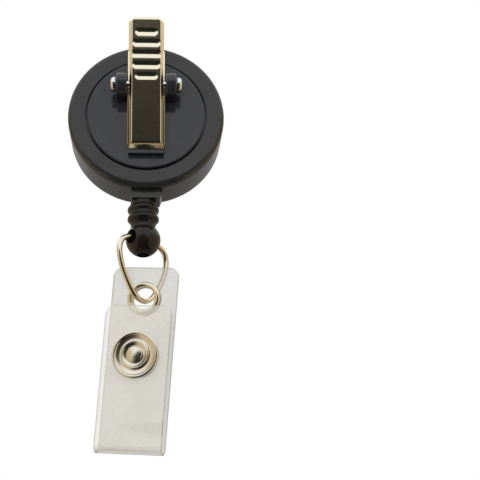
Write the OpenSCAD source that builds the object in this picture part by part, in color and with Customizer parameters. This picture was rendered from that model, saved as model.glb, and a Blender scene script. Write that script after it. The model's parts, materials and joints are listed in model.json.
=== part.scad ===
// Retractable badge reel: a round two-shell case with a spring-driven cord
// spool, a swivelling spring clip on the back, a moulded end stop on the cord,
// a wire ring and a folded vinyl strap that closes with a snap.
// Millimetres. +Z is up, the reel's own axis is Y, the front (label) face
// looks along -Y and the clip is on the +Y side. The origin is the centre of
// the recessed label face.

/* [Case] */
// Outer diameter of the case
case_od = 32; // [30:0.5:36]
// Height of the label recess rim above the label face
rim_h = 0.4; // [0.2:0.1:0.8]
// Radius of the recessed label face
label_r = 10.4; // [8:0.1:12]
// Height of the back face above the label face
back_y = 10; // [9.8:0.1:10.2]
// Radius of the rounding on the outer edges
edge_r = 1; // [0.6:0.1:1.2]

/* [Neck] */
// Sideways place of the cord outlet
neck_x = 0.5; // [0:0.1:0.6]
// Depth of the cord outlet from the label face
neck_y = 5.4; // [5.2:0.1:5.4]
// Width of the outlet block
block_w = 5.9; // [5:0.1:6.5]
// Depth of the outlet block
block_d = 5.3; // [5:0.1:5.3]

/* [Cord] */
// Diameter of the pull cord
cord_d = 0.8; // [0.6:0.1:0.9]
// Diameter of the stop ball
ball_d = 7; // [6.4:0.1:7.4]
// Diameter of the stop's bulges
bulge_d = 6.4; // [5.8:0.1:6.8]
// Direction of the ring hole through the ball, degrees from +X towards +Y
hole_az = 42; // [35:1:50]

/* [Clip] */
// Width of the clip lever
lever_w = 7.5; // [7:0.1:7.8]
// Tilt of the closed clip lever from the disc, degrees
lever_tilt = 9; // [8:0.5:9.5]
// Height of the clip axle above the label face
axle_y = 13.9; // [13.8:0.1:14.1]
// Height of the clip axle above the reel's axis
axle_z = 4.8; // [4.4:0.1:5]

/* [Ring] */
// Diameter of the ring's wire
wire_d = 1.15; // [1:0.05:1.2]

/* [Strap] */
// Width of the vinyl strap
strap_w = 13.5; // [12.5:0.1:14]
// Thickness of the vinyl
strap_t = 0.5; // [0.4:0.05:0.6]
// Distance between the middles of the two flaps
flap_gap = 2.8; // [2.6:0.1:3]
// Strap's sideways lean as it hangs, degrees
strap_roll = 4.5; // [0:0.5:8]
// Strap's fore-and-aft lean as it hangs, degrees
strap_pitch = 7; // [0:1:16]
// Strap's turn about the vertical, degrees
strap_yaw = 17; // [0:1:18]

/* [Hidden] */
case_r = case_od / 2;
ball_r = ball_d / 2;
block_z = -(case_r + 1.55);
ball_z = -25.8;
knot_z = -23.9;
drum_r = 10.8;
flange_r = 14;
groove_lo = 3.8;
groove_hi = 6.6;
disc_top = back_y + 0.4;
eye_pos = [0.2, neck_y, -38.25];
eye_hole_r = 2.25;
fold_z = -30.6;
rear_top = 6.35;
front_top = -1.9;
snap_x = -0.1;
snap_z = -11.75;
lug_in = 3.95;
lug_out = 6.15;
$fn = 72;

// Turns a profile drawn as [radius, depth] about the reel's axis.
module about_y() { rotate([-90, 0, 0]) rotate_extrude($fn = 144) children(); }
// Turns a profile drawn as [radius, height] about the cord outlet.
module about_neck() { translate([neck_x, neck_y, 0]) rotate_extrude() children(); }
// Points of an arc about c, from angle a to angle b.
function arc(c, r, a, b, n = 8) =
  [for (i = [0 : n]) let (t = a + (b - a) * i / n) [c[0] + r * cos(t), c[1] + r * sin(t)]];
// A straight rod between two points.
module rod(p, q, r) {
  v = q - p;
  l = norm(v);
  translate(p) rotate([0, acos(v[2] / l), atan2(v[1], v[0])]) cylinder(h = l, r = r, $fn = 32);
}

module front_case() {
  color("#3f4042") difference() {
    about_y() polygon(concat(
      [[0, 0], [label_r, 0], [label_r, -rim_h + 0.08], [label_r + 0.08, -rim_h]],
      arc([case_r - 0.25 - edge_r, -rim_h + edge_r], edge_r, -90, 0),
      [[case_r - 0.02, 8.45], [case_r - 0.16, 8.6],
       [14.65, 8.6], [14.65, 7.3], [14.3, 7.3], [14.3, 1.2],
       [2.2, 1.2], [2.2, 7.3], [1.4, 7.3], [1.4, 7.95], [0, 7.95]]));
    // window for the outlet block
    translate([neck_x - 0.45 - block_w / 2, neck_y - block_d / 2, -case_r - 2])
      cube([block_w, block_d, 5]);
    // slot in the post that holds the inner end of the mainspring
    translate([-0.2, 1.6, 0]) cube([0.4, 4.9, 3]);
  }
}

module back_case() {
  color("#47494a") about_y() polygon(concat(
    [[12.4, 8.95], [12.4, back_y - 0.06], [12.46, back_y]],
    arc([case_r - edge_r, back_y - edge_r], edge_r, 90, 0),
    [[case_r, 8.8], [case_r - 0.16, 8.66], [case_r - 0.16, 8.62], [14.6, 8.62],
     [14.6, 8.05], [13.5, 8.05], [13.5, 8.95]]));
}

module swivel_retainer() {
  color("#303234") difference() {
    about_y() polygon([[1.45, 7.35], [14.6, 7.35], [14.6, 8.0], [1.45, 8.0]]);
    // clearance over the outlet block
    translate([neck_x - 0.45 - block_w / 2 - 0.2, 7, -16])
      cube([block_w + 0.4, 2, 2.6]);
  }
}

module neck_guide() {
  color("#2b2c2e") difference() {
    translate([neck_x - 0.45, neck_y, 0]) union() {
      difference() {
        translate([-block_w / 2 + 0.02, -block_d / 2 + 0.02, block_z])
          cube([block_w - 0.04, block_d - 0.04, case_r + 1.55 - (case_r - 1.6)]);
        // bevel round the outer end
        for (s = [-1, 1]) translate([s * block_w / 2, 0, block_z]) rotate([0, 45, 0])
          cube([0.3, block_d + 1, 0.3], center = true);
      }
      // sloped shoulder beside the block
      translate([-block_w / 2 + 0.1, -block_d / 2 + 0.3, block_z]) rotate([-90, 0, 0])
        linear_extrude(block_d - 0.6) polygon([[0, 0], [0, -2], [-0.62, -2], [-0.5, -1.2]]);
    }
    // cord hole with a rounded mouth
    about_neck() polygon(concat([[0, block_z - 1], [1.35, block_z - 1], [1.35, block_z]],
      arc([1.35, block_z + 0.6], 0.6, -90, -180, 6),
      arc([1.35, -case_r + 1.05], 0.6, 180, 90, 6), [[1.35, -13], [0, -13]]));
    // inner end follows the round of the case
    rotate([-90, 0, 0]) translate([0, 0, 1]) cylinder(h = 9, r = 14.35, $fn = 144);
  }
}

module spool() {
  color("#d8d8d4") difference() {
    about_y() polygon([[2.25, groove_hi], [10.2, groove_hi], [10.2, 1.5], [drum_r, 1.5],
      [drum_r, groove_lo - 0.6], [flange_r, groove_lo - 0.6], [flange_r, groove_lo],
      [drum_r, groove_lo], [drum_r, groove_hi], [flange_r, groove_hi],
      [flange_r, groove_hi + 0.6], [2.25, groove_hi + 0.6]]);
    // slot in the drum wall for the outer end of the mainspring
    translate([-0.3, 1, 9.8]) cube([0.6, 5, 1.3]);
    // hole that anchors the inner end of the cord
    translate([-11.6, 5.2, 0]) rotate([90, 0, 0]) cylinder(h = 2.6, r = 0.5);
  }
}

module spool_washer() {
  color("#c9b98a") about_y() polygon([[2.3, 7.22], [3.5, 7.22], [3.5, 7.33], [2.3, 7.33]]);
}

// Flat spiral strip between the post and the drum wall.
module mainspring() {
  turns = 9;
  n = turns * 26;
  t = 0.16;
  function sp(i, o) = let (a = 360 * turns * i / n + 90, r = 2.42 + (9.95 - 2.42) * i / n + o)
    [r * cos(a), r * sin(a)];
  color("#7d8288") translate([0, 1.75, 0]) rotate([-90, 0, 0]) linear_extrude(4.6)
    polygon(concat([for (i = [0 : n]) sp(i, -t / 2)], [for (i = [n : -1 : 0]) sp(i, t / 2)]));
}

module cord_wound() {
  m = (groove_lo + groove_hi) / 2;
  color("#202020") about_y() polygon(concat([[10.9, groove_lo + 0.1], [12.5, groove_lo + 0.1]],
    [for (k = [-1 : 1]) each arc([12.6, m + 0.8 * k], 0.42, -60, 60, 4)],
    [[12.5, groove_hi - 0.1], [10.9, groove_hi - 0.1]]));
}

// Cord between the wound pack and the outlet block: off the pack, round the lip
// of the outlet and down into it.
module cord_lead() {
  r = cord_d / 2;
  lip = [neck_x - 1.35, -case_r + 1.05];
  bend = 0.6 + r + 0.05;
  th = 17.7;
  y = neck_y - 0.1;
  run = 13.02 + r + 0.03;
  color("#202020") union() {
    rod([-run * sin(th), y, -run * cos(th)], [lip[0] + bend * sin(th) + 0.06 * cos(th), y, lip[1] + bend * cos(th) - 0.06 * sin(th)], r);
    translate([lip[0], y, lip[1]]) rotate([-90, 0, 0]) rotate([0, 0, th - 90])
      rotate_extrude(angle = 90 - th, $fn = 96) translate([bend, 0]) circle(r = r - 0.03, $fn = 32);
    rod([lip[0] + bend, y, lip[1] + 0.06], [lip[0] + bend, y, -15.96], r);
  }
}

module cord_tail() {
  color("#202020") translate([neck_x, neck_y, knot_z + 1.08])
    cylinder(h = -16.02 - (knot_z + 1.08), r = cord_d / 2, $fn = 32);
}

module cord_knot() {
  color("#202020") translate([neck_x, neck_y, knot_z]) union() {
    sphere(r = 1.05, $fn = 32);
    translate([0, 0, -0.05]) rotate([0, 0, 20]) rotate([90, 0, 0])
      rotate_extrude() translate([0.62, 0]) circle(r = 0.42, $fn = 20);
  }
}

module end_stop() {
  top = block_z - 0.08;
  color("#1a1517") difference() {
    union() {
      about_neck() polygon(concat([[0, top], [2.45, top]],
        [[2.6, top - 0.15], [2.6, -18.43]],
        arc([bulge_d / 2 - 0.85, -19.35], 0.85, 62, -50, 8),
        arc([bulge_d / 2 - 0.85, -21.35], 0.85, 50, -62, 8),
        [[2.62, -22.35], [2.5, -22.75], [2.55, -23.5], [0, -23.5]]));
      translate([neck_x, neck_y, ball_z]) sphere(r = ball_r, $fn = 96);
    }
    // bore for the cord, opened out for the knot
    translate([neck_x, neck_y, -30]) cylinder(h = 20, r = 0.55, $fn = 32);
    translate([neck_x, neck_y, -30]) cylinder(h = 30 + knot_z + 1.15, r = 1.25, $fn = 48);
    // cross hole for the wire ring
    translate([neck_x, neck_y, ball_z]) rotate([0, 0, hole_az]) rotate([0, 90, 0])
      cylinder(h = 12, r = 1.45, center = true, $fn = 48);
  }
}

module swivel_disc() {
  lug_half = (lug_out - lug_in) / 2;
  lug_round = 0.4;
  color("#48494c") difference() {
    union() {
      about_y() polygon(concat([[0, 8.1], [13.2, 8.1], [13.2, 8.85], [12.05, 8.85]],
        [[12.05, disc_top - 0.25]], arc([11.8, disc_top - 0.25], 0.25, 0, 90, 4), [[0, disc_top]]));
      for (s = [-1, 1]) {
        // round lug and its foot
        translate([s * (lug_in + lug_out) / 2, axle_y, axle_z]) rotate([0, 90, 0])
          rotate_extrude($fn = 64) polygon(concat([[0, -lug_half]],
            arc([2.5 - lug_round, lug_round - lug_half], lug_round, -90, 0, 5),
            arc([2.5 - lug_round, lug_half - lug_round], lug_round, 0, 90, 5), [[0, lug_half]]));
        translate([s * (lug_in + lug_out) / 2 - 0.85, disc_top - 0.5, axle_z - 2.25])
          cube([1.7, axle_y - disc_top + 0.5, 4.5]);
      }
      // fixed jaw under the nose of the lever
      translate([-3.6, disc_top - 0.5, -9.4]) cube([7.2, 1.95, 1.2]);
      for (i = [0 : 6]) translate([-3 + i, disc_top + 0.4, -9.4])
        cylinder(h = 1, r = 0.3, $fn = 24);
    }
    translate([0, axle_y, axle_z]) rotate([0, 90, 0])
      cylinder(h = 20, r = 0.8, center = true, $fn = 48);
    // relief over the end of the post
    about_y() polygon([[0, 8], [2.2, 8], [2.2, 8.5], [0, 8.5]]);
  }
}

// Lever frame: origin on the axle, +Z along the plate to its tail, +Y up off the disc.
module at_lever() { translate([0, axle_y, axle_z]) rotate([-lever_tilt, 0, 0]) children(); }

module clip_lever() {
  h = 1.72;
  t = 0.5;
  w = lever_w / 2;
  tail = 14.4;
  nose = -13.6;
  color("#8d8776") at_lever() difference() {
    union() {
      // plate
      translate([-w + 0.5, h - t, nose + 0.3]) cube([lever_w - 1, t, tail - nose - 0.8]);
      // rolled edges
      for (s = [-1, 1]) {
        intersection() {
          translate([s * (w - 0.8), h - 0.8, nose]) cylinder(h = tail - nose - 0.3, r = 0.8, $fn = 40);
          translate([s * (w - 0.25) - 0.55, h - 1.6, nose]) cube([1.1, 1.6, tail - nose - 0.3]);
        }
        translate([s * (w - 0.2) - 0.2, h - 1.35, nose + 0.1]) cube([0.4, 0.6, tail - nose - 0.6]);
        // ears on the axle
        translate([s * (w - 0.45), 0, 0]) rotate([0, 90, 0])
          cylinder(h = 0.5, r = 1.55, center = true, $fn = 48);
        translate([s * (w - 0.45) - 0.25, 0, -1.5]) cube([0.5, h - 0.4, 3]);
      }
      // turned-down tail
      translate([-w + 0.4, h - 0.8, tail - 0.8]) rotate([0, 90, 0])
        cylinder(h = lever_w - 0.8, r = 0.8, $fn = 40);
      // turned-down nose, leaning outwards
      translate([-w + 0.1, h, nose + 0.6]) rotate([0, 90, 0]) rotate([0, 0, 90])
        linear_extrude(lever_w - 0.2)
          polygon([[0, 0], [-1.1, -0.35], [-1.35, -0.2], [-1.35, 0.2], [-0.5, 0.7], [-0.5, 1.2], [0, 1.2]]);
    }
    // finger grooves across the tail
    for (i = [0 : 4]) translate([0, h + 1.85, 1.05 + 2.37 * i])
      rotate([0, 90, 0]) cylinder(h = [4.4, 5.6, 6.6, 5.6, 4.4][i], r = 2.1, center = true, $fn = 96);
    // inside of the channel
    translate([-w + 0.72, -1.7, nose + 1.3]) cube([lever_w - 1.44, h - t + 1.7, tail - nose - 2.1]);
    rotate([0, 90, 0]) cylinder(h = 12, r = 0.82, center = true, $fn = 48);
  }
}

module clip_axle() {
  color("#b9b39c") translate([0, axle_y, axle_z]) union() {
    rotate([0, 90, 0]) cylinder(h = 14, r = 0.75, center = true, $fn = 48);
    for (s = [-1, 1]) rotate([0, s * 90, 0]) rotate_extrude($fn = 48)
      polygon(concat([[0, lug_out + 0.04], [1.5, lug_out + 0.04]],
        arc([0.95, lug_out + 0.45], 0.65, -20, 90, 6), [[0, lug_out + 1.12]]));
  }
}

module clip_spring() {
  turns = 9;
  pitch = 0.35;
  wire = 0.18;
  color("#9aa0a5") union() {
    translate([0, axle_y, axle_z]) {
      // close-wound coil round the axle
      rotate([0, 90, 0]) rotate([0, 0, 63]) rotate_extrude($fn = 64)
        polygon(concat([[0.83, -1.57]], [for (i = [0 : turns - 1]) each
          arc([0.97, pitch * (i - (turns - 1) / 2)], wire, -72, 72, 8)], [[0.83, 1.57]]));
      // leg that bears on the disc
      rod([1.37, -0.93, 0.2], [1.37, -3.2, -4.6], 0.14);
    }
    // leg that bears under the tail of the lever
    at_lever() rod([-1.4, 0.94, -0.1], [-1.4, 0.98, 5.4], 0.15);
  }
}

// Ring outline: distance along the hole and distance below it, one half.
ring_half = [[0, -0.05], [2.2, 0], [4.2, 0.3], [5.7, 1.35], [6.25, 3.3], [5.8, 5.9],
  [4.75, 8.3], [3.35, 10.6], [1.75, 12.25], [0, 12.85]];
ring_q = concat(ring_half, [for (i = [8 : -1 : 1]) [-ring_half[i][0], ring_half[i][1]]]);
ring_sub = 4;
ring_pts = len(ring_q) * ring_sub;
// Smooth closed curve through the outline's points.
function ring_uv(i) = let (n = len(ring_q), k = floor(i / ring_sub), t = i / ring_sub - k,
    a = ring_q[(k - 1 + n) % n], b = ring_q[(k + n) % n], c = ring_q[(k + 1 + n) % n], d = ring_q[(k + 2 + n) % n])
  0.5 * (2 * b + (c - a) * t + (2 * a - 5 * b + 4 * c - d) * t * t + (3 * b - a - 3 * c + d) * t * t * t);
function ring_pt(i) = let (q = ring_uv(i))
  [neck_x + q[0] * cos(hole_az), neck_y + q[0] * sin(hole_az), ball_z - q[1]];

module wire_ring() {
  m = 14;
  n = ring_pts;
  r = wire_d / 2;
  nrm = [-sin(hole_az), cos(hole_az), 0];
  function tan_i(i) = let (d = ring_pt(i + 1) - ring_pt(i - 1)) d / norm(d);
  function side(i) = cross(nrm, tan_i(i));
  pts = [for (i = [0 : n - 1]) let (p = ring_pt(i), s = side(i))
    for (j = [0 : m - 1]) p + r * (cos(360 * j / m) * nrm + sin(360 * j / m) * s)];
  fcs = [for (i = [0 : n - 1]) for (j = [0 : m - 1]) let (i2 = (i + 1) % n, j2 = (j + 1) % m)
    each [[i * m + j, i * m + j2, i2 * m + j2], [i * m + j, i2 * m + j2, i2 * m + j]]];
  color("#c8bfa0") polyhedron(points = pts, faces = fcs);
}

// Strap frame: origin at the middle of the eyelet, +Z up the strap, +Y to the snap side.
module at_strap() {
  translate(eye_pos) rotate([-strap_pitch, 0, 0]) rotate([0, -strap_roll, 0])
    rotate([0, 0, -strap_yaw]) children();
}
// Flat tongue with two rounded upper corners, in the strap's plane.
module tongue(z0, z1, r) {
  w = strap_w / 2;
  rotate([90, 0, 0]) linear_extrude(strap_t, center = true)
    polygon(concat([[-w, z0], [w, z0]], arc([w - r, z1 - r], r, 0, 90, 8),
      arc([-w + r, z1 - r], r, 90, 180, 8)));
}
module across(r, y0, y1) {
  translate([0, y0, 0]) rotate([-90, 0, 0]) cylinder(h = y1 - y0, r = r, $fn = 64);
}

module strap_back() {
  g = flap_gap / 2;
  color("#d9d8d2") at_strap() union() {
    difference() {
      tongue(fold_z + g, rear_top, 1.8);
      across(2.6, -1, 1);
      translate([snap_x, 0, snap_z]) across(1.3, -1, 1);
    }
    // rear quarter of the fold
    translate([0, g, fold_z + g]) rotate([0, 90, 0]) rotate([0, 0, -90])
      rotate_extrude(angle = 90, $fn = 96) translate([g - strap_t / 2, -strap_w / 2])
        square([strap_t, strap_w]);
  }
}

module strap_front() {
  g = flap_gap / 2;
  color("#e3e3dd") at_strap() translate([0, flap_gap, 0]) difference() {
    tongue(fold_z + g, front_top, 2);
    translate([snap_x, 0, snap_z]) across(1.5, -1, 1);
  }
}

module eyelet() {
  color("#cdc3a0") at_strap() rotate([-90, 0, 0]) rotate_extrude($fn = 96)
    polygon(concat([[eye_hole_r, -0.62], [2.55, -0.62], [2.55, strap_t / 2 + 0.02],
      [3.3, strap_t / 2 + 0.02]],
      arc([2.83, strap_t / 2 + 0.13], 0.57, 0, 180, 10)));
}

module eyelet_washer() {
  color("#cdc3a0") at_strap() rotate([-90, 0, 0]) rotate_extrude($fn = 96)
    polygon(concat([[2.58, -strap_t / 2 - 0.02], [2.58, -0.5]],
      arc([2.98, -0.55], 0.4, 180, 360, 10), [[3.4, -strap_t / 2 - 0.02]]));
}

module at_snap() { at_strap() translate([snap_x, 0, snap_z]) rotate([-90, 0, 0]) children(); }

// Fixed half of the snap: the stud that stands off the rear flap.
module snap_stud() {
  color("#b8b097") at_snap() rotate_extrude($fn = 96)
    polygon([[0, strap_t / 2 + 0.03], [4.2, strap_t / 2 + 0.03], [4.2, 0.5], [3.6, 0.75], [2.0, 0.75],
      [1.55, 0.95], [1.55, 1.25], [1.75, 1.45], [1.7, 1.7], [1.4, 1.85], [0, 1.85]]);
}
module snap_stud_post() {
  color("#b8b097") at_snap() rotate_extrude($fn = 96)
    polygon([[0, strap_t / 2 + 0.01], [1.2, strap_t / 2 + 0.01], [1.2, -strap_t / 2 - 0.02], [3.7, -strap_t / 2 - 0.02],
      [3.7, -0.4], [3.3, -0.6], [1.2, -0.75], [0, -0.78]]);
}
// Moving half of the snap: the socket and the ring that clamps it.
module snap_socket() {
  g = flap_gap;
  color("#b8b097") at_snap() rotate_extrude($fn = 96)
    polygon([[1.85, 1.0], [3.6, 1.0], [4.2, 1.25], [4.2, g - strap_t / 2 - 0.03], [2.0, g - strap_t / 2 - 0.03],
      [1.85, 1.9], [1.85, 1.6]]);
}
module snap_ring_cap() {
  g = flap_gap;
  s = g + strap_t / 2 + 0.02;
  color("#cfc8b0") at_snap() rotate_extrude($fn = 96)
    polygon([[0, g - strap_t / 2 - 0.0], [1.45, g - strap_t / 2 - 0.0], [1.45, s], [4.55, s], [4.7, s + 0.15], [4.6, s + 0.4],
      [4.2, s + 0.5], [3.95, s + 0.2], [2.9, s + 0.12], [2.75, s + 0.42], [2.45, s + 0.5],
      [2.2, s + 0.3], [1.7, s + 0.25], [1.55, s + 0.55], [1.0, s + 0.8], [0, s + 0.9]]);
}

front_case();
back_case();
swivel_retainer();
neck_guide();
spool();
spool_washer();
mainspring();
cord_wound();
cord_lead();
cord_tail();
cord_knot();
end_stop();
swivel_disc();
clip_lever();
clip_axle();
clip_spring();
wire_ring();
strap_back();
strap_front();
eyelet();
eyelet_washer();
snap_stud();
snap_stud_post();
snap_socket();
snap_ring_cap();
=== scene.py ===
import bpy
import bmesh
import json
import math
import random
from mathutils import Matrix, Vector, noise

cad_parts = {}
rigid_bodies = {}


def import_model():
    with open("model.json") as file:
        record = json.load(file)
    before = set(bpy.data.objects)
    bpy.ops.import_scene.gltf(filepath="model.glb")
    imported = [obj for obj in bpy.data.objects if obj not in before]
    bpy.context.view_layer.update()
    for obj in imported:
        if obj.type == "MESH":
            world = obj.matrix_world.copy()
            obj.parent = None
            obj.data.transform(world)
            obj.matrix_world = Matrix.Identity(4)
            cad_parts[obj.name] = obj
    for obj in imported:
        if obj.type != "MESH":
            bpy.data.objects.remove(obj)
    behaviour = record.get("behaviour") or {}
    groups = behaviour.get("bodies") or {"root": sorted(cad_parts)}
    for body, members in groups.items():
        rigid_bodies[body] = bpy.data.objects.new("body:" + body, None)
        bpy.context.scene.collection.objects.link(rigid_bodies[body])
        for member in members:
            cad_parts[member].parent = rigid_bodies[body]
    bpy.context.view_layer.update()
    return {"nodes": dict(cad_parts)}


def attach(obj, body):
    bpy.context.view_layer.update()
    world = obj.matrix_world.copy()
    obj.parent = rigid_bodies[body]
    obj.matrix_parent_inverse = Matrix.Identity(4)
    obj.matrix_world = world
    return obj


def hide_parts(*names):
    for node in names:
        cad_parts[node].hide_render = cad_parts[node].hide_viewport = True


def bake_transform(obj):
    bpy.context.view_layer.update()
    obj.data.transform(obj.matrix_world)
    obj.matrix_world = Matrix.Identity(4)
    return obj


for o in list(bpy.data.objects):
    bpy.data.objects.remove(o, do_unlink=True)
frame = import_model()
NODES = frame["nodes"]
MM = 0.001

# ---------------------------------------------------------------- frame numbers (mm, as in part.scad)
NECK = Vector((0.5, 5.4, 0))
BALL_Z = -25.8
HOLE_AZ = math.radians(42)
WIRE_R = 1.15 / 2
STRAP_W, STRAP_T, FLAP_GAP = 13.5, 0.5, 2.8
EYE = Vector((0.2, 5.4, -38.25))
FOLD_Z, REAR_TOP, FRONT_TOP = -30.6, 6.35, -1.9
SNAP_X, SNAP_Z = -0.1, -11.75
LEVER_W = 7.5
AXLE = Vector((0, 13.9, 4.8))


def rot(axis, deg):
    return Matrix.Rotation(math.radians(deg), 4, axis)


STRAP_M = Matrix.Translation(EYE) @ rot("X", -7) @ rot("Y", -4.5) @ rot("Z", -17)
LEVER_M = Matrix.Translation(AXLE) @ rot("X", -9)
TO_Y = rot("X", -90)      # local +Z becomes +Y


# ---------------------------------------------------------------- materials
def nt(mat):
    mat.use_nodes = True
    t = mat.node_tree
    return t, t.nodes, t.links


def new_mat(name):
    m = bpy.data.materials.new(name)
    t, n, l = nt(m)
    p = n["Principled BSDF"]
    return m, t, n, l, p


def coords(n, l, scale=(1000, 1000, 1000)):
    c = n.new("ShaderNodeTexCoord")
    m = n.new("ShaderNodeMapping")
    m.inputs["Scale"].default_value = scale
    l.new(c.outputs["Object"], m.inputs["Vector"])
    return m.outputs["Vector"]


def noise_tex(n, l, vec, scale, detail=3.0, rough=0.5):
    x = n.new("ShaderNodeTexNoise")
    x.inputs["Scale"].default_value = scale
    x.inputs["Detail"].default_value = detail
    x.inputs["Roughness"].default_value = rough
    l.new(vec, x.inputs["Vector"])
    return x.outputs["Fac"]


def ramp(n, l, fac, stops):
    r = n.new("ShaderNodeValToRGB")
    e = r.color_ramp.elements
    while len(e) < len(stops):
        e.new(0.5)
    for k, (pos, col) in enumerate(stops):
        e[k].position = pos
        e[k].color = (*col, 1) if len(col) == 3 else col
    l.new(fac, r.inputs["Fac"])
    return r.outputs["Color"]


def remap(n, l, fac, a, b, lo, hi):
    m = n.new("ShaderNodeMapRange")
    m.inputs["From Min"].default_value = a
    m.inputs["From Max"].default_value = b
    m.inputs["To Min"].default_value = lo
    m.inputs["To Max"].default_value = hi
    l.new(fac, m.inputs["Value"])
    return m.outputs["Result"]


def bump(n, l, height, strength, dist, base=None):
    b = n.new("ShaderNodeBump")
    b.inputs["Strength"].default_value = strength
    b.inputs["Distance"].default_value = dist
    l.new(height, b.inputs["Height"])
    if base is not None:
        l.new(base, b.inputs["Normal"])
    return b.outputs["Normal"]


def plastic(name, lo, hi, r0, r1, spec, fine=0.02, wave=0.02):
    """Moulded plastic: faint flow mottling, very soft orange peel, fine grain, uneven gloss."""
    m, t, n, l, p = new_mat(name)
    v = coords(n, l)
    big = noise_tex(n, l, v, 0.22, 2.0)
    mid = noise_tex(n, l, v, 1.1, 3.0)
    tiny = noise_tex(n, l, v, 22.0, 2.0)
    l.new(ramp(n, l, big, [(0.3, lo), (0.7, hi)]), p.inputs["Base Color"])
    l.new(remap(n, l, mid, 0.3, 0.7, r0, r1), p.inputs["Roughness"])
    p.inputs["Specular IOR Level"].default_value = spec
    b1 = bump(n, l, mid, wave, 0.0002)
    l.new(bump(n, l, tiny, fine, 0.00002, b1), p.inputs["Normal"])
    return m


def metal(name, lo, hi, r0, r1, stretch=(1000, 1000, 1000), line=0.02):
    """Bright plated metal: tint drift, uneven polish, and fine polishing lines along one direction."""
    m, t, n, l, p = new_mat(name)
    v = coords(n, l)
    vs = coords(n, l, stretch)
    big = noise_tex(n, l, v, 0.35, 2.0)
    mid = noise_tex(n, l, v, 1.6, 4.0)
    lines = noise_tex(n, l, vs, 6.0, 3.0)
    l.new(ramp(n, l, big, [(0.3, lo), (0.7, hi)]), p.inputs["Base Color"])
    l.new(remap(n, l, mid, 0.3, 0.7, r0, r1), p.inputs["Roughness"])
    p.inputs["Metallic"].default_value = 1.0
    l.new(bump(n, l, lines, line, 0.00002, bump(n, l, mid, 0.03, 0.00004)), p.inputs["Normal"])
    return m


M_CASE = plastic("black_gloss_case", (0.017, 0.0178, 0.0185), (0.022, 0.023, 0.0242), 0.10, 0.17, 0.5)
M_DISC = plastic("black_gloss_disc", (0.0185, 0.020, 0.0245), (0.0245, 0.0262, 0.031), 0.08, 0.14, 0.5)
M_STOP = plastic("black_satin_stop", (0.0085, 0.0072, 0.0065), (0.0115, 0.0098, 0.0092), 0.14, 0.22, 0.36)
M_INNER = plastic("dark_inner_plastic", (0.02, 0.02, 0.021), (0.028, 0.028, 0.03), 0.35, 0.45, 0.4)
M_SPOOL = plastic("white_spool_plastic", (0.70, 0.70, 0.66), (0.78, 0.78, 0.75), 0.35, 0.5, 0.4)
M_LEVER = metal("nickel_lever", (0.87, 0.81, 0.66), (0.92, 0.87, 0.72), 0.085, 0.125, (4000, 400, 250), 0.04)
M_RING = metal("nickel_ring", (0.84, 0.77, 0.62), (0.90, 0.84, 0.71), 0.12, 0.20)
M_SNAP = metal("nickel_snap", (0.80, 0.76, 0.66), (0.87, 0.83, 0.74), 0.16, 0.24)
M_RIVET = metal("bright_rivet", (0.80, 0.84, 0.93), (0.86, 0.90, 0.98), 0.07, 0.12)
M_STEEL = metal("spring_steel", (0.42, 0.43, 0.45), (0.50, 0.51, 0.53), 0.22, 0.32)


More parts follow.
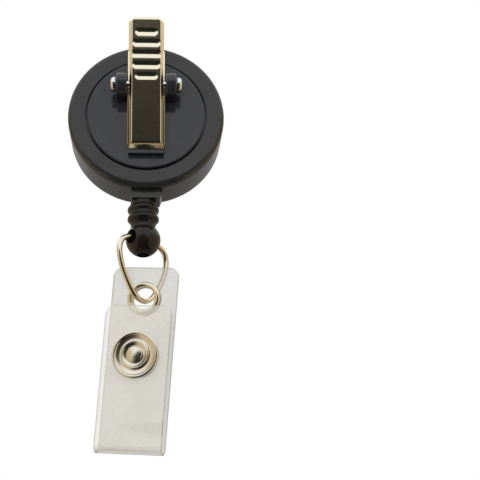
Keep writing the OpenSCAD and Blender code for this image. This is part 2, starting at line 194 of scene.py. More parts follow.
def vinyl_mat():
    """Frosted clear vinyl: mostly see-through, milky, with denser cut edges, a stressed crease and fine calender grain.
    Painted shade darkens the cut edges, the wedge by the fold and the whole rear flap.
    """
    m, t, n, l, p = new_mat("frosted_vinyl")
    uv = n.new("ShaderNodeUVMap")
    uv.uv_map = "flat"
    sep = n.new("ShaderNodeSeparateXYZ")
    l.new(uv.outputs["UV"], sep.inputs["Vector"])

    def math_(op, a, b=None):
        x = n.new("ShaderNodeMath")
        x.operation = op
        for k, q in enumerate((a, b)):
            if q is None:
                continue
            if isinstance(q, (int, float)):
                x.inputs[k].default_value = q
            else:
                l.new(q, x.inputs[k])
        return x.outputs[0]
    # distance from the long edges, in mm
    ax = math_("ABSOLUTE", math_("SUBTRACT", sep.outputs["X"], 0.5))
    edge = math_("MULTIPLY", math_("SUBTRACT", 0.5, ax), STRAP_W)
    rim = remap(n, l, edge, 0.0, 0.16, 1.0, 0.0)
    # stressed crease along the fold
    s_mid = (REAR_TOP - FOLD_Z + math.pi * FLAP_GAP / 4 - FLAP_GAP / 2) / FLAT_LEN
    cr = math_("ABSOLUTE", math_("SUBTRACT", sep.outputs["Y"], s_mid))
    crease = remap(n, l, cr, 0.0, 0.022, 1.0, 0.0)
    ends = math_("MULTIPLY", math_("SUBTRACT", 0.5, math_("ABSOLUTE", math_("SUBTRACT", sep.outputs["Y"], 0.5))), FLAT_LEN)
    rim = math_("MAXIMUM", rim, remap(n, l, ends, 0.0, 0.16, 1.0, 0.0))
    v = coords(n, l)
    big = noise_tex(n, l, v, 0.12, 2.0)
    mid = noise_tex(n, l, v, 0.9, 3.0)
    grain = noise_tex(n, l, v, 9.0, 2.0)
    front = remap(n, l, sep.outputs["Y"], s_mid - 0.01, s_mid + 0.01, 0.0, 1.0)
    # soft wedge where the flap bellies towards the fold, painted darker as shade and made a little denser
    t_ = math_("SUBTRACT", 1.0, sep.outputs["X"])
    ds = math_("ABSOLUTE", math_("SUBTRACT", math_("MULTIPLY", sep.outputs["Y"], FLAT_LEN), S_FOLD + 3.4))
    wedge = math_("MULTIPLY", front, remap(n, l, math_("SUBTRACT", math_("MULTIPLY", t_, 1.8), ds), 0.0, 0.9, 0.0, 1.0))
    # painted shade: the colour is pulled towards the dark tone at the cut edges and in the bellied wedge
    shade = math_("ADD", math_("MULTIPLY", rim, 0.55), math_("MULTIPLY", wedge, 0.20))
    # painted shade: the rear flap gets a darker copy of the vinyl colour than the front flap
    rear_shaded_c = ramp(n, l, big, [(0.25, (0.49, 0.48, 0.44)), (0.75, (0.56, 0.555, 0.52))])
    front_lit_c = ramp(n, l, big, [(0.25, (0.76, 0.755, 0.70)), (0.75, (0.83, 0.825, 0.775))])
    painted_shade_c = ramp(n, l, big, [(0.25, (0.24, 0.235, 0.21)), (0.75, (0.27, 0.265, 0.24))])

    def blend_rgb(fac, a_, b_):
        x = n.new("ShaderNodeMix")
        x.data_type = "RGBA"
        l.new(fac, x.inputs["Factor"])
        l.new(a_, x.inputs["A"])
        l.new(b_, x.inputs["B"])
        return x.outputs["Result"]
    l.new(blend_rgb(shade, blend_rgb(front, rear_shaded_c, front_lit_c), painted_shade_c), p.inputs["Base Color"])
    a0 = math_("ADD", remap(n, l, mid, 0.3, 0.7, 0.36, 0.375), math_("MULTIPLY", front, -0.02))
    a1 = math_("ADD", a0, math_("MULTIPLY", rim, 0.28))
    a2 = math_("ADD", a1, math_("MULTIPLY", crease, 0.14))
    l.new(math_("ADD", a2, math_("MULTIPLY", wedge, 0.05)), p.inputs["Alpha"])
    l.new(remap(n, l, mid, 0.3, 0.7, 0.24, 0.36), p.inputs["Roughness"])
    p.inputs["IOR"].default_value = 1.5
    p.inputs["Specular IOR Level"].default_value = 0.5
    b = bump(n, l, grain, 0.10, 0.00002, bump(n, l, mid, 0.05, 0.0001))
    l.new(b, p.inputs["Normal"])
    return m


def cord_mat():
    """Black braided cord: two crossing sets of strands in the bump and colour."""
    m, t, n, l, p = new_mat("braided_cord")
    uv = n.new("ShaderNodeUVMap")
    uv.uv_map = "flat"
    mp = n.new("ShaderNodeMapping")
    mp.inputs["Scale"].default_value = (1, 1, 1)
    l.new(uv.outputs["UV"], mp.inputs["Vector"])
    outs = []
    for sgn in (1, -1):
        w = n.new("ShaderNodeTexWave")
        w.wave_type = "BANDS"
        w.bands_direction = "DIAGONAL"
        w.inputs["Scale"].default_value = 2.0
        w.inputs["Distortion"].default_value = 0.3
        mm = n.new("ShaderNodeMapping")
        mm.inputs["Scale"].default_value = (4.0 * sgn, 1.0, 1.0)
        l.new(mp.outputs["Vector"], mm.inputs["Vector"])
        l.new(mm.outputs["Vector"], w.inputs["Vector"])
        outs.append(w.outputs["Fac"])
    mx = n.new("ShaderNodeMath")
    mx.operation = "MAXIMUM"
    l.new(outs[0], mx.inputs[0])
    l.new(outs[1], mx.inputs[1])
    l.new(ramp(n, l, mx.outputs[0], [(0.2, (0.006, 0.006, 0.006)), (0.9, (0.03, 0.03, 0.031))]), p.inputs["Base Color"])
    p.inputs["Roughness"].default_value = 0.62
    p.inputs["Sheen Weight"].default_value = 0.25
    l.new(bump(n, l, mx.outputs[0], 0.5, 0.00006), p.inputs["Normal"])
    return m


FLAT_LEN = (REAR_TOP - (FOLD_Z + FLAP_GAP / 2)) + math.pi * FLAP_GAP / 2 + (FRONT_TOP - (FOLD_Z + FLAP_GAP / 2))
S_FOLD = REAR_TOP - (FOLD_Z + FLAP_GAP / 2) + math.pi * FLAP_GAP / 2
M_VINYL = vinyl_mat()
M_CORD = cord_mat()


# ---------------------------------------------------------------- mesh helpers
def finish_mesh(name, bm, mat, smooth=True, angle=40, matrix=None):
    me = bpy.data.meshes.new(name)
    bmesh.ops.recalc_face_normals(bm, faces=bm.faces)
    bm.to_mesh(me)
    bm.free()
    o = bpy.data.objects.new(name, me)
    bpy.context.scene.collection.objects.link(o)
    if matrix is not None:
        me.transform(matrix)
    me.transform(Matrix.Scale(MM, 4))
    me.materials.append(mat)
    for f in me.polygons:
        f.use_smooth = smooth
    if smooth and angle < 180:
        me.set_sharp_from_angle(angle=math.radians(angle))
    return o


def arc(c, r, a, b, n=8):
    return [(c[0] + r * math.cos(math.radians(a + (b - a) * i / n)),
             c[1] + r * math.sin(math.radians(a + (b - a) * i / n))) for i in range(n + 1)]


def revolve(bm, prof, n=128, closed=True, matrix=Matrix.Identity(4)):
    """Turns a profile of (radius, height) about local Z. A closed profile is a ring; an open one ends on the axis."""
    rings = []
    for r, h in prof:
        if r < 1e-6:
            rings.append([bm.verts.new(matrix @ Vector((0, 0, h)))])
        else:
            rings.append([bm.verts.new(matrix @ Vector((r * math.cos(2 * math.pi * i / n), r * math.sin(2 * math.pi * i / n), h)))
                          for i in range(n)])
    m = len(rings)
    for k in range(m if closed else m - 1):
        a, b = rings[k], rings[(k + 1) % m]
        if len(a) == 1 and len(b) == 1:
            continue
        for i in range(n):
            j = (i + 1) % n
            if len(a) == 1:
                bm.faces.new((a[0], b[j], b[i]))
            elif len(b) == 1:
                bm.faces.new((a[i], a[j], b[0]))
            else:
                bm.faces.new((a[i], a[j], b[j], b[i]))


def sweep(bm, pts, radius, n=20, closed=False, uv_len=None):
    """Round tube along points, with frames carried without twist."""
    pts = [Vector(p) for p in pts]
    m = len(pts)
    tans = []
    for i in range(m):
        a = pts[(i - 1) % m] if (closed or i > 0) else pts[i]
        b = pts[(i + 1) % m] if (closed or i < m - 1) else pts[i]
        tans.append((b - a).normalized())
    ref = Vector((0, 0, 1)) if abs(tans[0].z) < 0.9 else Vector((1, 0, 0))
    u = tans[0].cross(ref).normalized()
    frames = []
    for i in range(m):
        if i:
            q = tans[i - 1].rotation_difference(tans[i])
            u = q @ u
        u = (u - tans[i] * u.dot(tans[i])).normalized()
        frames.append((u.copy(), tans[i].cross(u).normalized()))
    if closed:
        # spread the leftover twist along the loop
        q = tans[-1].rotation_difference(tans[0])
        u2 = q @ frames[-1][0]
        ang = math.atan2(u2.dot(frames[0][1]), u2.dot(frames[0][0]))
    rings = []
    for i in range(m):
        a, b = frames[i]
        tw = -ang * i / m if closed else 0
        r = radius(i / m) if callable(radius) else radius
        rings.append([bm.verts.new(pts[i] + (a * math.cos(2 * math.pi * j / n + tw) + b * math.sin(2 * math.pi * j / n + tw)) * r)
                      for j in range(n)])
    for i in range(m if closed else m - 1):
        a, b = rings[i], rings[(i + 1) % m]
        for j in range(n):
            k = (j + 1) % n
            bm.faces.new((a[j], a[k], b[k], b[j]))
    if not closed:
        bm.faces.new(list(reversed(rings[0])))
        bm.faces.new(rings[-1])
    return rings


def catmull(pts, sub, closed=True):
    out = []
    n = len(pts)
    pts = [Vector(p) for p in pts]
    for k in range(n if closed else n - 1):
        a = pts[(k - 1) % n] if closed or k > 0 else pts[0]
        b, c = pts[k], pts[(k + 1) % n]
        d = pts[(k + 2) % n] if closed or k < n - 2 else pts[-1]
        for i in range(sub):
            t = i / sub
            out.append(0.5 * (2 * b + (c - a) * t + (2 * a - 5 * b + 4 * c - d) * t * t + (3 * b - a - 3 * c + d) * t ** 3))
    if not closed:
        out.append(pts[-1])
    return out


def give(node, mat, bevel=0.0, seg=2):
    o = NODES[node]
    o.data.materials.clear()
    o.data.materials.append(mat)
    if bevel:
        b = o.modifiers.new("edge", "BEVEL")
        b.width = bevel * MM
        b.segments = seg
        b.limit_method = "ANGLE"
        b.angle_limit = math.radians(40)
        b.harden_normals = True
    return o


for name, mat in (("front_case", M_CASE), ("back_case", M_CASE), ("neck_guide", M_CASE), ("swivel_disc", M_DISC),
                  ("swivel_retainer", M_INNER), ("spool", M_SPOOL), ("spool_washer", M_SNAP), ("mainspring", M_STEEL),
                  ("cord_wound", M_CORD), ("cord_lead", M_CORD), ("cord_tail", M_CORD), ("cord_knot", M_CORD),
                  ("end_stop", M_STOP), ("clip_lever", M_LEVER), ("clip_axle", M_RIVET), ("clip_spring", M_STEEL),
                  ("wire_ring", M_RING), ("strap_back", M_VINYL), ("strap_front", M_VINYL), ("eyelet", M_RING),
                  ("eyelet_washer", M_RING), ("snap_stud", M_SNAP), ("snap_stud_post", M_SNAP), ("snap_socket", M_SNAP),
                  ("snap_ring_cap", M_SNAP)):
    give(name, mat)


# ---------------------------------------------------------------- the folded strap, one strip of vinyl
def strap_piece():
    w = STRAP_W / 2
    L = FLAT_LEN
    s_rear = REAR_TOP - (FOLD_Z + FLAP_GAP / 2)
    s_fold = s_rear + math.pi * FLAP_GAP / 2
    bm = bmesh.new()

    def loop(pts):
        vs = [bm.verts.new((x, s, 0)) for x, s in pts]
        return [bm.edges.new((vs[i], vs[(i + 1) % len(vs)])) for i in range(len(vs))]
    outline = (arc((w - 1.8, 1.8), 1.8, 270, 360, 14) + arc((w - 2, L - 2), 2, 0, 90, 14)
               + arc((-w + 2, L - 2), 2, 90, 180, 14) + arc((-w + 1.8, 1.8), 1.8, 180, 270, 14))
    edges = loop(outline)
    # s runs from the rear flap's upper edge; the holes for the eyelet, the stud and the socket
    for cx, cs, r in ((0, REAR_TOP, 2.57), (SNAP_X, REAR_TOP - SNAP_Z, 1.3), (SNAP_X, L - (FRONT_TOP - SNAP_Z), 1.5)):
        edges += loop([(cx + r * math.cos(2 * math.pi * i / 48), cs + r * math.sin(2 * math.pi * i / 48)) for i in range(48)])
    bmesh.ops.triangle_fill(bm, use_beauty=True, use_dissolve=False, edges=edges)
    # cuts across, close together in the fold
    cuts = [k * 1.6 for k in range(1, int(L / 1.6) + 1)]
    cuts += [s_rear - 1 + k * (s_fold - s_rear + 2) / 36 for k in range(37)]
    for s in sorted(cuts):
        bmesh.ops.bisect_plane(bm, geom=bm.verts[:] + bm.edges[:] + bm.faces[:], plane_co=(0, s, 0), plane_no=(0, 1, 0), dist=1e-5)
    for x in (-w + 0.5, -w * 0.6, -w * 0.3, 0.0, w * 0.3, w * 0.6, w - 0.5):
        bmesh.ops.bisect_plane(bm, geom=bm.verts[:] + bm.edges[:] + bm.faces[:], plane_co=(x, 0, 0), plane_no=(1, 0, 0), dist=1e-5)
    bmesh.ops.remove_doubles(bm, verts=bm.verts[:], dist=1e-4)
    bmesh.ops.recalc_face_normals(bm, faces=bm.faces)
    if bm.faces[0].normal.z < 0:
        bmesh.ops.reverse_faces(bm, faces=bm.faces[:])
    uvl = bm.loops.layers.uv.new("flat")
    # two skins and a wall round every open edge
    top = {v: None for v in bm.verts}
    verts = list(bm.verts)
    faces = list(bm.faces)
    bound = [e for e in bm.edges if len(e.link_faces) == 1]
    ht = STRAP_T / 2
    up = {v: bm.verts.new((v.co.x, v.co.y, ht)) for v in verts}
    for v in verts:
        v.co.z = -ht
    for f in faces:
        bm.faces.new([up[v] for v in f.verts])
        f.normal_flip()
    for e in bound:
        a, b = e.verts
        bm.faces.new((a, b, up[b], up[a]))
    bmesh.ops.recalc_face_normals(bm, faces=bm.faces)
    sharp = [e for e in bm.edges if len(e.link_faces) == 2 and e.calc_face_angle(0) > math.radians(60)]
    bmesh.ops.bevel(bm, geom=sharp, offset=0.11, segments=2, profile=0.5, affect="EDGES", clamp_overlap=True)
    for f in bm.faces:
        for lp in f.loops:
            lp[uvl].uv = (lp.vert.co.x / STRAP_W + 0.5, lp.vert.co.y / L)
    r = FLAP_GAP / 2
    for v in bm.verts:
        x, s, h = v.co
        # a very slight bow and lift that a real strip keeps
        bow = 0.10 * (1 - (x / w) ** 2) * math.sin(min(1, s / L) * math.pi * 3)
        if s <= s_rear:
            q = Vector((x, h * -1 + bow * min(1, (s_rear - s) / 8) * 0.6, REAR_TOP - s))
        elif s < s_fold:
            a = (s - s_rear) / r
            q = Vector((x, r - (r - h * -1) * math.cos(a) if False else r - (r + h) * math.cos(a), FOLD_Z + 0.02 + r - (r + h) * math.sin(a)))
        else:
            q = Vector((x, FLAP_GAP + h + bow * min(1, (s - s_fold) / 8) * 0.6, FOLD_Z + r + (s - s_fold)))
        v.co = q
    o = finish_mesh("vinyl_strap", bm, M_VINYL, angle=50, matrix=STRAP_M)
    return o


strap = strap_piece()
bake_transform(strap)
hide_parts("strap_back", "strap_front")

# ---------------------------------------------------------------- the wire ring
half = [(0, -0.05), (2.2, 0), (4.2, 0.3), (5.7, 1.35), (6.25, 3.3), (5.8, 5.9), (4.75, 8.3), (3.35, 10.6), (1.75, 12.25), (0, 12.85)]
loop_q = half + [(-x, y) for x, y in half[8:0:-1]]
uvec = Vector((math.cos(HOLE_AZ), math.sin(HOLE_AZ), 0))
ring_pts = [NECK + Vector((0, 0, BALL_Z)) + uvec * q.x - Vector((0, 0, q.y)) for q in catmull([(x, y, 0) for x, y in loop_q], 10)]
bm = bmesh.new()
sweep(bm, ring_pts, WIRE_R - 0.005, n=28, closed=True)
ring = finish_mesh("wire_loop", bm, M_RING, angle=180)
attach(ring, "ring")
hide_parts("wire_ring")

# ---------------------------------------------------------------- the pressed lever of the clip
def smooth_neg(v, k):
    """Soft max(v, 0)."""
    return k * math.log1p(math.exp(min(60.0, v / k)))


def lever_piece():
    h, zt, zn, w, rc = 1.70, 14.34, -13.5, 3.6, 1.15
    grooves = [(1.40 + 2.37 * i, (4.4, 5.6, 6.6, 5.6, 4.4)[i] / 2 - 0.62) for i in range(5)]
    zs = []
    z = zn
    while z < zt - 1e-6:
        zs.append(z)
        near = min([abs(z - g[0]) for g in grooves])
        end = min(z - zn, zt - z)
        z += 0.035 if end < 0.2 else (0.07 if (end < 1.4 or near < 1.0) else 0.3)
    zs.append(zt)
    m = 84
    us = []
    for i in range(m + 1):
        q = -1 + 2 * i / m
        us.append(math.copysign(1 - (1 - abs(q)) ** 1.45, q))

    def half_width(z):
        e = z - (zt - rc)
        return w if e <= 0 else w - rc + math.sqrt(max(0.0, rc * rc - e * e))

    def height(x, z):
        ax = abs(x)
        if ax > w - rc and z > zt - rc:
            d = rc - math.hypot(ax - (w - rc), z - (zt - rc))
        else:
            d = min(w - ax, zt - z)
        nose = (z - zn) * 0.66
        d = min(d, nose)
        y = h - 2.25 * smooth_neg(0.60 - d, 0.05)
        # fuller roll at the tail
        e = z - (zt - 1.0)
        if e > 0 and y < h:
            roll = h - (0.95 - math.sqrt(max(0.0, 0.9025 - (0.95 * e) ** 2)))
            y = max(y, roll - 1.2 * max(0.0, ax - (w - 1.1)))
        for gz, gl in grooves:
            dx = max(0.0, ax - gl)
            q = math.hypot(dx, z - gz) / 0.86
            if q < 1:
                fade = min(1.0, max(0.0, (d - 0.52) / 0.4))
                y -= 0.21 * fade * fade * (3 - 2 * fade) * (0.5 + 0.5 * math.cos(math.pi * q)) ** 0.9
        # the sheet is never dead flat: a shallow crown and a trace of press draw
        y += 0.035 * (1 - (x / w) ** 2) - 0.00018 * (z - 0.5) ** 2
        return y
    bm = bmesh.new()
    rows = []
    for z in zs:
        hw = half_width(z)
        rows.append([bm.verts.new((u * hw, height(u * hw, z), z)) for u in us])
    for a, b in zip(rows, rows[1:]):
        for i in range(m):
            bm.faces.new((a[i], b[i], b[i + 1], a[i + 1]))
    # small return at the open edge of the skirt
    rim = [e for e in bm.edges if len(e.link_faces) == 1]
    ext = bmesh.ops.extrude_edge_only(bm, edges=rim)
    for v in [q for q in ext["geom"] if isinstance(q, bmesh.types.BMVert)]:
        v.co.y -= 0.12
    o = finish_mesh("clip_lever_plate", bm, M_LEVER, angle=180, matrix=LEVER_M)
    if o.data.polygons[len(o.data.polygons) // 3].normal.y < 0:
        o.data.flip_normals()
    mod = o.modifiers.new("sheet", "SOLIDIFY")
    mod.thickness = 0.26 * MM
    mod.offset = -1
    mod.use_even_offset = False
    return o


def lever_sides():
    """Side flanges and the ears that ride on the axle."""
    bm = bmesh.new()
    for sgn in (-1, 1):
        prof = [(-12.9, 0.45), (-12.7, 0.05), (-3.0, -0.15), (-1.9, -0.75)]
        prof += [(1.5 * math.sin(math.radians(a)), -1.5 * math.cos(math.radians(a))) for a in range(-55, 56, 10)]
        prof += [(1.9, -0.75), (3.0, -0.15), (6.6, 0.0), (7.0, 0.12), (7.1, 0.5), (6.9, 0.62), (-12.7, 0.62)]
        a = [bm.verts.new((sgn * 3.46, y, z)) for z, y in prof]
        b = [bm.verts.new((sgn * 3.74, y, z)) for z, y in prof]
        bm.faces.new(a)
        bm.faces.new(list(reversed(b)))
        n_ = len(a)
        for i in range(n_):
            j = (i + 1) % n_
            bm.faces.new((a[i], b[i], b[j], a[j]))
    bmesh.ops.recalc_face_normals(bm, faces=bm.faces)
    sharp = [e for e in bm.edges if len(e.link_faces) == 2 and e.calc_face_angle(0) > math.radians(60)]
    bmesh.ops.bevel(bm, geom=sharp, offset=0.08, segments=3, profile=0.5, affect="EDGES", clamp_overlap=True)
    return finish_mesh("clip_lever_flanges", bm, M_LEVER, angle=50, matrix=LEVER_M)


lever = lever_piece()
flanges = lever_sides()
for o in (lever, flanges):
    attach(o, "lever")
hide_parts("clip_lever")


# ---------------------------------------------------------------- snap fastener and eyelet
def ring_piece(name, prof, mat, matrix, body, replaces, closed=False, n_=144, angle=35):
    bm = bmesh.new()
    revolve(bm, prof, n=n_, closed=closed, matrix=matrix)
    o = finish_mesh(name, bm, mat, angle=angle)
    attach(o, body)
    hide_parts(replaces)
    return o


SNAP_M = STRAP_M @ Matrix.Translation((SNAP_X, 0, SNAP_Z)) @ TO_Y
EYE_M = STRAP_M @ TO_Y
S0 = FLAP_GAP + STRAP_T / 2 + 0.02
cap_prof = ([(0, S0)] + [(4.45, S0)] + arc((4.45, S0 + 0.2), 0.2, -90, 0, 5)
            + [(4.67, S0 + 0.30), (4.63, S0 + 0.40), (4.56, S0 + 0.47), (4.46, S0 + 0.51), (4.33, S0 + 0.525), (4.2, S0 + 0.515), (4.10, S0 + 0.475), (4.02, S0 + 0.40),
               (3.95, S0 + 0.30), (3.87, S0 + 0.22), (3.74, S0 + 0.17), (3.5, S0 + 0.125), (3.2, S0 + 0.085), (2.95, S0 + 0.07), (2.84, S0 + 0.11)]
            + arc((2.60, S0 + 0.27), 0.24, 5, 150, 10) + [(2.3, S0 + 0.32), (2.15, S0 + 0.24), (1.95, S0 + 0.18), (1.78, S0 + 0.17), (1.68, S0 + 0.24)]
            + arc((1.22, S0 + 0.36), 0.42, 5, 62, 7) + [(1.12, S0 + 0.765), (0.75, S0 + 0.835), (0.38, S0 + 0.865), (0, S0 + 0.875)])
ring_piece("snap_cap_front", cap_prof, M_SNAP, SNAP_M, "flap", "snap_ring_cap")
G = FLAP_GAP
sock_prof = ([(1.9, 1.06)] + [(3.5, 1.03)] + arc((3.75, 1.4), 0.36, -80, -20, 5) + [(4.14, 1.5), (4.17, G - 0.5), (4.15, G - 0.32), (2.0, G - 0.30), (1.9, 1.95), (1.88, 1.5)])
ring_piece("snap_socket_ring", sock_prof, M_SNAP, SNAP_M, "flap", "snap_socket", closed=True)
stud_prof = ([(0, 0.29), (4.12, 0.29)] + arc((4.0, 0.42), 0.13, -60, 90, 5) + [(3.6, 0.68), (3.0, 0.72), (2.1, 0.73), (1.75, 0.80), (1.58, 0.98), (1.57, 1.2), (1.66, 1.34)]
             + arc((1.44, 1.52), 0.27, -10, 80, 6) + [(1.2, 1.82), (0, 1.84)])
ring_piece("snap_stud_disc", stud_prof, M_SNAP, SNAP_M, "strap", "snap_stud")
post_prof = ([(0, 0.25), (1.18, 0.25), (1.18, -0.28), (3.6, -0.28)] + arc((3.55, -0.42), 0.14, 80, -60, 5) + [(3.2, -0.60), (2.2, -0.69), (1.2, -0.74), (0, -0.77)])
ring_piece("snap_rear_cap", post_prof, M_SNAP, SNAP_M, "strap", "snap_stud_post")
eye_prof = ([(2.27, -0.6), (2.53, -0.6), (2.53, 0.28), (3.28, 0.28)] + arc((2.83, 0.38), 0.56, 0, 180, 18))
ring_piece("eyelet_barrel", eye_prof, M_RING, EYE_M, "strap", "eyelet", closed=True)
wash_prof = ([(2.6, -0.28), (2.6, -0.52)] + arc((2.98, -0.55), 0.38, 180, 360, 14) + [(3.36, -0.28)])
ring_piece("eyelet_rear_ring", wash_prof, M_RING, EYE_M, "strap", "eyelet_washer", closed=True)

# ---------------------------------------------------------------- the running cord
def cord_piece():
    z0, z1 = -16.04, -22.86
    bm = bmesh.new()
    n_, m_ = 16, 64
    uvl = bm.loops.layers.uv.new("flat")
    rows = []
    for k in range(m_ + 1):
        z = z0 + (z1 - z0) * k / m_
        rows.append([bm.verts.new((NECK.x + 0.39 * math.cos(2 * math.pi * i / n_), NECK.y + 0.39 * math.sin(2 * math.pi * i / n_), z)) for i in range(n_)])
    for k in range(m_):
        for i in range(n_):
            j = (i + 1) % n_
            f = bm.faces.new((rows[k][i], rows[k + 1][i], rows[k + 1][j], rows[k][j]))
            for lp, (a_, b_) in zip(f.loops, ((i, k), (i, k + 1), (i + 1, k + 1), (i + 1, k))):
                lp[uvl].uv = (a_ / n_, b_ / m_ * (z0 - z1) / 2.5)
    bm.faces.new(list(reversed(rows[0])))
    bm.faces.new(rows[-1])
    o = finish_mesh("pull_cord", bm, M_CORD, angle=60)
    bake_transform(o)
    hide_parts("cord_tail")
    return o


cord_piece()

# ---------------------------------------------------------------- torsion spring: coil and foot on the swivel, long leg with the lever
def spring_pieces():
    wire, rr = 0.155, 0.97
    pts = [Vector((1.37, -3.32, -4.85)), Vector((1.37, -2.6, -3.35)), Vector((1.37, -1.9, -1.9)), Vector((1.37, -1.25, -0.75))]
    turns, n_ = 8.28, 300
    x0, x1 = 1.37, -1.36
    for k in range(n_ + 1):
        q = k / n_
        f = q * turns * 2 * math.pi + 0.12
        pts.append(Vector((x0 + (x1 - x0) * q, -rr * math.cos(f), rr * math.sin(f))))
    bm_ = bmesh.new()
    sweep(bm_, [AXLE + v for v in pts], wire, n=12)
    coil = finish_mesh("clip_spring_coil", bm_, M_STEEL, angle=70)
    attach(coil, "swivel")
    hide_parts("clip_spring")
    leg = catmull([(-1.36, -0.35, 0.90), (-1.36, 0.05, 0.97), (-1.37, 0.55, 1.25), (-1.38, 0.88, 1.9), (-1.39, 0.97, 2.8), (-1.4, 0.98, 4.0), (-1.4, 0.98, 5.35)], 6, closed=False)
    bm_ = bmesh.new()
    sweep(bm_, leg, wire, n=12)
    o = finish_mesh("clip_spring_leg", bm_, M_STEEL, angle=70, matrix=LEVER_M)
    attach(o, "lever")


spring_pieces()

# ---------------------------------------------------------------- camera
AZ, EL, ROLL = math.radians(175.86), math.radians(-21.01), math.radians(-1.25)
DIST, FPX = 0.280, 1365.28
back = Vector((math.sin(AZ) * math.cos(EL), -math.cos(AZ) * math.cos(EL), math.sin(EL)))
right = (-back).cross(Vector((0, 0, 1))).normalized()
up = right.cross(-back)
r2 = right * math.cos(ROLL) + up * math.sin(ROLL)
u2 = -right * math.sin(ROLL) + up * math.cos(ROLL)
target = Vector((0, 0.010, 0))
off = Vector(((146.2 - 240) / FPX * DIST, -(114.8 - 240) / FPX * DIST, 0))
cam_pos = target + back * DIST - r2 * off.x - u2 * off.y
cam_data = bpy.data.cameras.new("camera")
cam_data.lens = 36.0 * FPX / 480
cam_data.sensor_width = 36.0
cam_data.clip_start = 0.005
cam_data.clip_end = 100
cam = bpy.data.objects.new("camera", cam_data)
bpy.context.scene.collection.objects.link(cam)
rot3 = Matrix((r2, u2, back)).transposed()
cam.matrix_world = Matrix.Translation(cam_pos) @ rot3.to_4x4()
bpy.context.scene.camera = cam

# ---------------------------------------------------------------- floor, world, lights
bm = bmesh.new()
bmesh.ops.create_grid(bm, x_segments=2, y_segments=2, size=12)
me = bpy.data.meshes.new("floor")
bm.to_mesh(me)
bm.free()
floor = bpy.data.objects.new("floor", me)
floor.location = (0, 0, -4.0)
bpy.context.scene.collection.objects.link(floor)
fm, t, n, l, p = new_mat("floor_pale")
p.inputs["Base Color"].default_value = (0.9, 0.9, 0.9, 1)
p.inputs["Roughness"].default_value = 0.9
me.materials.append(fm)
floor.visible_glossy = False
floor.visible_diffuse = False

world = bpy.data.worlds.new("studio")
bpy.context.scene.world = world
world.use_nodes = True
t = world.node_tree
n, l = t.nodes, t.links
n.clear()
out = n.new("ShaderNodeOutputWorld")
white = n.new("ShaderNodeBackground")
white.inputs["Color"].default_value = (1, 1, 1, 1)
white.inputs["Strength"].default_value = 1.0
tc = n.new("ShaderNodeTexCoord")


def facing(vec):
    d = n.new("ShaderNodeVectorMath")
    d.operation = "DOT_PRODUCT"
    l.new(tc.outputs["Generated"], d.inputs[0])
    d.inputs[1].default_value = Vector(vec).normalized()
    return d.outputs["Value"]


def c_(deg):
    return math.cos(math.radians(deg))


def backdrop(colour):
    b = n.new("ShaderNodeBackground")
    b.inputs["Strength"].default_value = 1.0
    l.new(colour, b.inputs["Color"])
    return b.outputs[0]


# dark side of the studio, where the photographer stands
front = backdrop(ramp(n, l, facing((0, c_(-24), math.sin(math.radians(-24)))),
                      [(0.0, (1.0, 1.0, 1.0)), (c_(46), (1.0, 0.995, 0.985)), (c_(43), (0.75, 0.72, 0.68)),
                       (c_(39.5), (0.075, 0.066, 0.055)), (c_(34), (0.044, 0.040, 0.034)), (c_(27), (0.020, 0.020, 0.018)), (1.0, (0.016, 0.016, 0.015))]))
# dark warm floor below
ylev = remap(n, l, facing((0, 1, 0)), -1, 1, 0, 1)
low = backdrop(ramp(n, l, ylev, [(0.0, (0.24, 0.22, 0.20)), (0.30, (0.22, 0.14, 0.08)), (0.46, (0.17, 0.085, 0.045)),
                                 (0.56, (0.05, 0.03, 0.02)), (0.72, (0.014, 0.013, 0.013)), (1.0, (0.014, 0.013, 0.013))]))
# table side behind the reel: neutral straight back, golden towards the sides, white above
tz = ramp(n, l, remap(n, l, facing((0, 0, 1)), -1, 1, 0, 1),
          [(0.0, (0.22, 0.20, 0.18)), (0.4, (0.34, 0.335, 0.33)), (0.72, (0.40, 0.395, 0.39)), (0.79, (0.95, 0.95, 0.95)), (1.0, (1, 1, 1))])
ts = ramp(n, l, facing((0, -1, 0)), [(0.0, (1.25, 1.05, 0.74)), (c_(52), (1.25, 1.05, 0.74)), (c_(36), (1, 1, 1)), (1.0, (1, 1, 1))])
tm = n.new("ShaderNodeMix")
tm.data_type = "RGBA"
tm.blend_type = "MULTIPLY"
tm.inputs["Factor"].default_value = 1.0
l.new(tz, tm.inputs["A"])
l.new(ts, tm.inputs["B"])
rear = backdrop(tm.outputs["Result"])
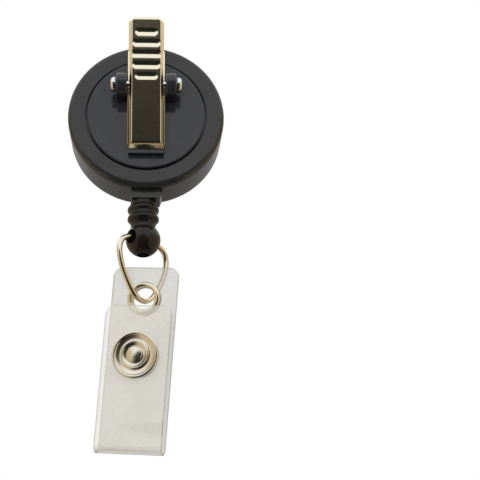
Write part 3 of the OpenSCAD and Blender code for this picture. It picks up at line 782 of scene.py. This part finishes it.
# pale gold reflectors on both sides
side = n.new("ShaderNodeBackground")
side.inputs["Color"].default_value = (0.64, 0.53, 0.34, 1)
side.inputs["Strength"].default_value = 1.0
m_low = remap(n, l, facing((0, 0.05, -1)), c_(56), c_(44), 0, 1)
m_rear = remap(n, l, facing((0, -0.985, -0.17)), c_(68), c_(56), 0, 1)
mix1 = n.new("ShaderNodeMixShader")
l.new(m_low, mix1.inputs["Fac"])
l.new(front, mix1.inputs[1])
l.new(low, mix1.inputs[2])
mix2 = n.new("ShaderNodeMixShader")
l.new(m_rear, mix2.inputs["Fac"])
l.new(mix1.outputs[0], mix2.inputs[1])
l.new(rear, mix2.inputs[2])
lp = n.new("ShaderNodeLightPath")
mx = n.new("ShaderNodeMath")
mx.operation = "MAXIMUM"
l.new(lp.outputs["Is Camera Ray"], mx.inputs[0])
l.new(lp.outputs["Is Transmission Ray"], mx.inputs[1])
mix = n.new("ShaderNodeMixShader")
l.new(mx.outputs[0], mix.inputs["Fac"])
mix3 = n.new("ShaderNodeMixShader")
x_ = facing((1, 0, 0))
xx = n.new("ShaderNodeMath")
xx.operation = "MULTIPLY"
l.new(x_, xx.inputs[0])
l.new(x_, xx.inputs[1])
wing = n.new("ShaderNodeMath")
wing.operation = "MULTIPLY"
l.new(remap(n, l, xx.outputs[0], 0.30, 0.52, 0, 1), wing.inputs[0])
l.new(remap(n, l, facing((0, 0, 1)), 0.58, 0.40, 0, 1), wing.inputs[1])
l.new(wing.outputs[0], mix3.inputs["Fac"])
l.new(mix2.outputs[0], mix3.inputs[1])
l.new(side.outputs[0], mix3.inputs[2])
l.new(mix3.outputs[0], mix.inputs[1])
l.new(white.outputs[0], mix.inputs[2])
l.new(mix.outputs[0], out.inputs["Surface"])


def softbox(name, direction, dist, size, power, colour=(1, 1, 1)):
    d = Vector(direction).normalized()
    la = bpy.data.lights.new(name, "AREA")
    la.shape = "RECTANGLE"
    la.size, la.size_y = size
    la.energy = power
    la.color = colour
    o = bpy.data.objects.new(name, la)
    o.location = Vector((0, 0, -0.02)) + d * dist
    o.rotation_mode = "QUATERNION"
    o.rotation_quaternion = d.to_track_quat("Z", "Y")
    o.visible_camera = False
    bpy.context.scene.collection.objects.link(o)
    return o


key = softbox("key_box", (-0.60, -0.09, 0.79), 0.8, (0.16, 0.10), 1.6)
key.visible_glossy = False
fill = softbox("fill_box", (0.15, 0.95, -0.15), 0.9, (0.6, 0.6), 5.5)
fill.visible_glossy = False
sc = bpy.context.scene
sc.view_settings.view_transform = "Standard"
sc.view_settings.look = "None"
sc.view_settings.exposure = 0
sc.view_settings.gamma = 1
